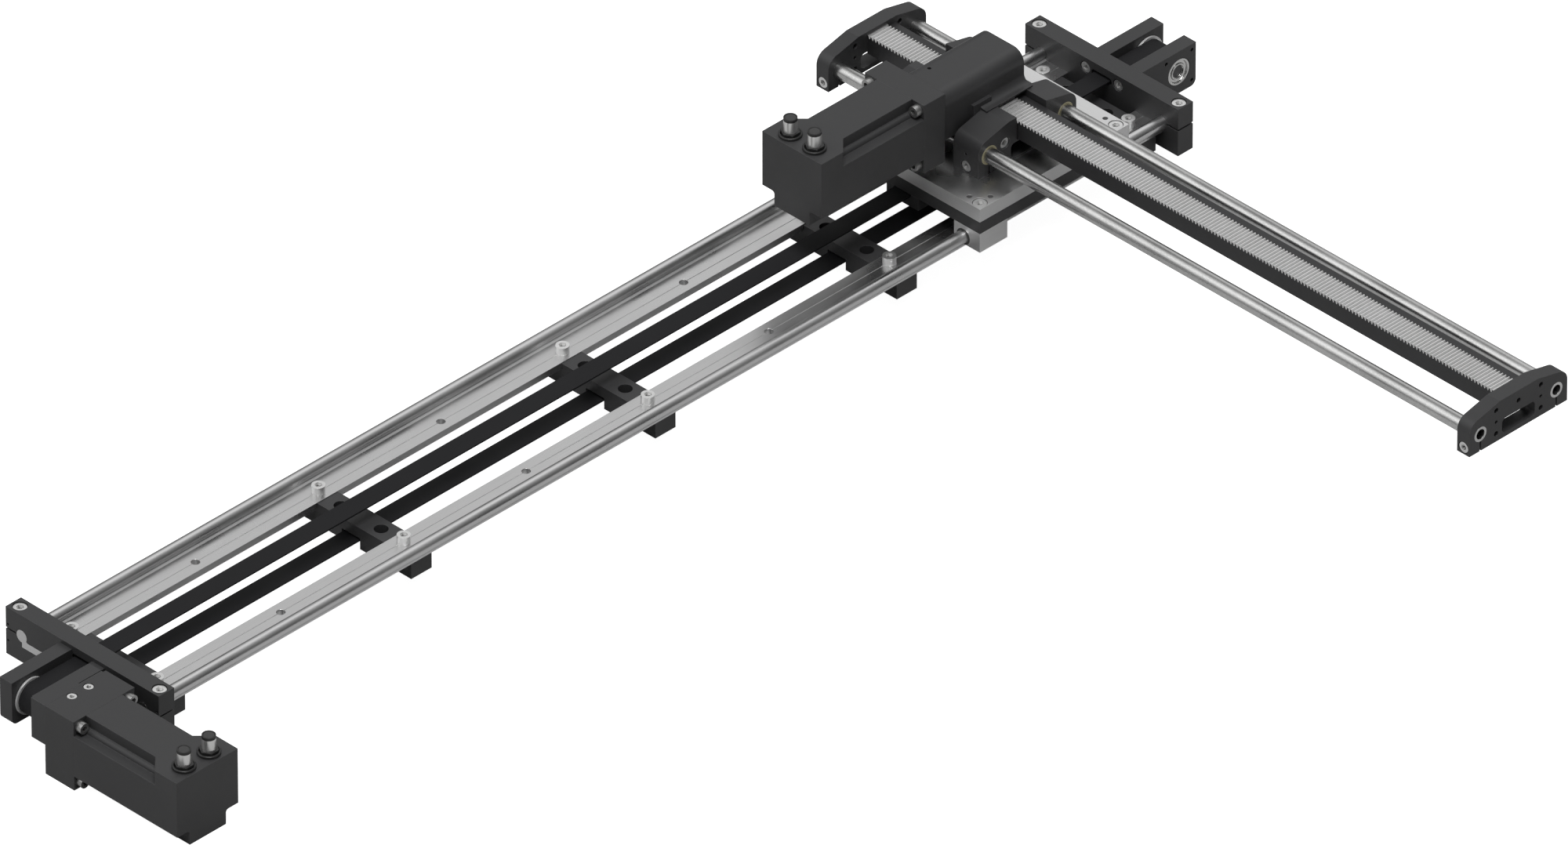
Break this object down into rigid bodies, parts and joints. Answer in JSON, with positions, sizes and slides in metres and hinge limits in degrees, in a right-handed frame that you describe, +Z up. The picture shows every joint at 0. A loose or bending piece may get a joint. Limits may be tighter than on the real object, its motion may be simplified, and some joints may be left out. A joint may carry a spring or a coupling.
{
  "type": "gantry robot",
  "caption": "Two-axis gantry robot: a belt-driven carriage slides along twin base rails and carries a cantilever arm on round shafts that a rack and pinion drives across them.",
  "frame": {"origin": "mid length of the base rails, midway between them, on the plane that the cross supports stand on", "axes": "+X along the base rails away from the base motor, +Y along the cantilever arm away from its tool plate, +Z up"},
  "size_m": [1.1504, 0.644, 0.1486],
  "materials": {
    "black_anodised_aluminium": "black anodised, satin",
    "motor_black_coat": "black coated die casting, satin",
    "rail_anodised_aluminium": "hard anodised grey aluminium, drawn",
    "polished_aluminium": "polished aluminium",
    "clear_anodised_aluminium": "clear anodised aluminium",
    "screw_steel": "zinc plated steel",
    "bearing_steel": "ground bearing steel",
    "dark_shaft_steel": "blackened steel",
    "ground_shaft_steel": "ground and hardened steel, glossy",
    "pulley_aluminium": "machined aluminium",
    "gear_steel": "machined steel",
    "rack_bar": "black bar with bright cut teeth",
    "belt_polyurethane": "black polyurethane with steel cords",
    "liner_polymer": "dark sliding polymer",
    "bush_polymer": "cream sliding polymer",
    "connector_nickel": "nickel plated",
    "black_nut": "black nut"
  },
  "bodies": {
    "base": {"rail_left": "rail_anodised_aluminium", "rail_right": "rail_anodised_aluminium", "cross_support_1": "black_anodised_aluminium", "cross_support_2": "black_anodised_aluminium", "cross_support_3": "black_anodised_aluminium", "cross_support_4": "black_anodised_aluminium", "cross_support_5": "black_anodised_aluminium", "rail_screws": "screw_steel", "bracket_near": "black_anodised_aluminium", "bracket_far": "black_anodised_aluminium", "bracket_clamp_screws": "screw_steel", "fork_near": "black_anodised_aluminium", "fork_far": "black_anodised_aluminium", "fork_screws": "screw_steel", "fork_bearings": "bearing_steel", "drive_belt": "belt_polyurethane", "base_motor_housing": "motor_black_coat", "base_motor_flange": "motor_black_coat", "base_motor_flange_screws": "screw_steel", "base_motor_adapter": "black_anodised_aluminium", "base_motor_adapter_screws": "screw_steel", "base_motor_connectors": "connector_nickel", "base_motor_connector_nuts": "black_nut"},
    "drive": {"drive_pulley": "pulley_aluminium", "drive_shaft": "dark_shaft_steel", "drive_bearing_rings": "bearing_steel"},
    "idler": {"idler_pulley": "pulley_aluminium", "idler_axle": "dark_shaft_steel", "idler_bearing_rings": "bearing_steel"},
    "carriage": {"carriage_top_plate": "polished_aluminium", "carriage_lower_plate": "black_anodised_aluminium", "carriage_plate_screws": "screw_steel", "bearing_block_1": "clear_anodised_aluminium", "bearing_block_2": "clear_anodised_aluminium", "bearing_block_3": "clear_anodised_aluminium", "bearing_block_4": "clear_anodised_aluminium", "rail_liners": "liner_polymer", "belt_clamp_1": "black_anodised_aluminium", "belt_clamp_2": "black_anodised_aluminium", "belt_clamp_screws": "screw_steel", "guide_front": "black_anodised_aluminium", "guide_rear": "black_anodised_aluminium", "guide_bushes": "bush_polymer", "guide_screws": "screw_steel", "gear_housing": "black_anodised_aluminium", "pinion_bush": "bush_polymer", "carriage_motor_housing": "motor_black_coat", "carriage_motor_flange": "motor_black_coat", "carriage_motor_flange_screws": "screw_steel", "carriage_motor_connectors": "connector_nickel", "carriage_motor_connector_nuts": "black_nut"},
    "pinion_set": {"pinion": "gear_steel", "pinion_shaft": "dark_shaft_steel"},
    "arm": {"arm_shaft_1": "ground_shaft_steel", "arm_shaft_2": "ground_shaft_steel", "rack": "rack_bar", "rack_screws": "screw_steel", "end_plate_front": "black_anodised_aluminium", "end_plate_back": "black_anodised_aluminium", "arm_clamp_screws": "screw_steel"}
  },
  "joints": [
    {"name": "x_slide", "type": "slide", "parent": "base", "child": "carriage", "axis": [1, 0, 0], "range_m": [-0.785, 0.045]},
    {"name": "y_slide", "type": "slide", "parent": "carriage", "child": "arm", "axis": [0, 1, 0], "range_m": [-0.045, 0.465]},
    {"name": "drive_pulley_spin", "type": "hinge", "parent": "base", "child": "drive", "pos_m": [-0.552, 0, 0.0186], "axis": [0, 1, 0], "continuous": true},
    {"name": "idler_pulley_spin", "type": "hinge", "parent": "base", "child": "idler", "pos_m": [0.552, 0, 0.0186], "axis": [0, 1, 0], "continuous": true},
    {"name": "pinion_spin", "type": "hinge", "parent": "carriage", "child": "pinion_set", "pos_m": [0.3705, 0, 0.0937], "axis": [1, 0, 0], "continuous": true}
  ],
  "couplings": [
    {"joint": "drive_pulley_spin", "follows": "x_slide", "rad_per_m": 83.776},
    {"joint": "idler_pulley_spin", "follows": "x_slide", "rad_per_m": 83.776},
    {"joint": "pinion_spin", "follows": "y_slide", "rad_per_m": 100}
  ]
}
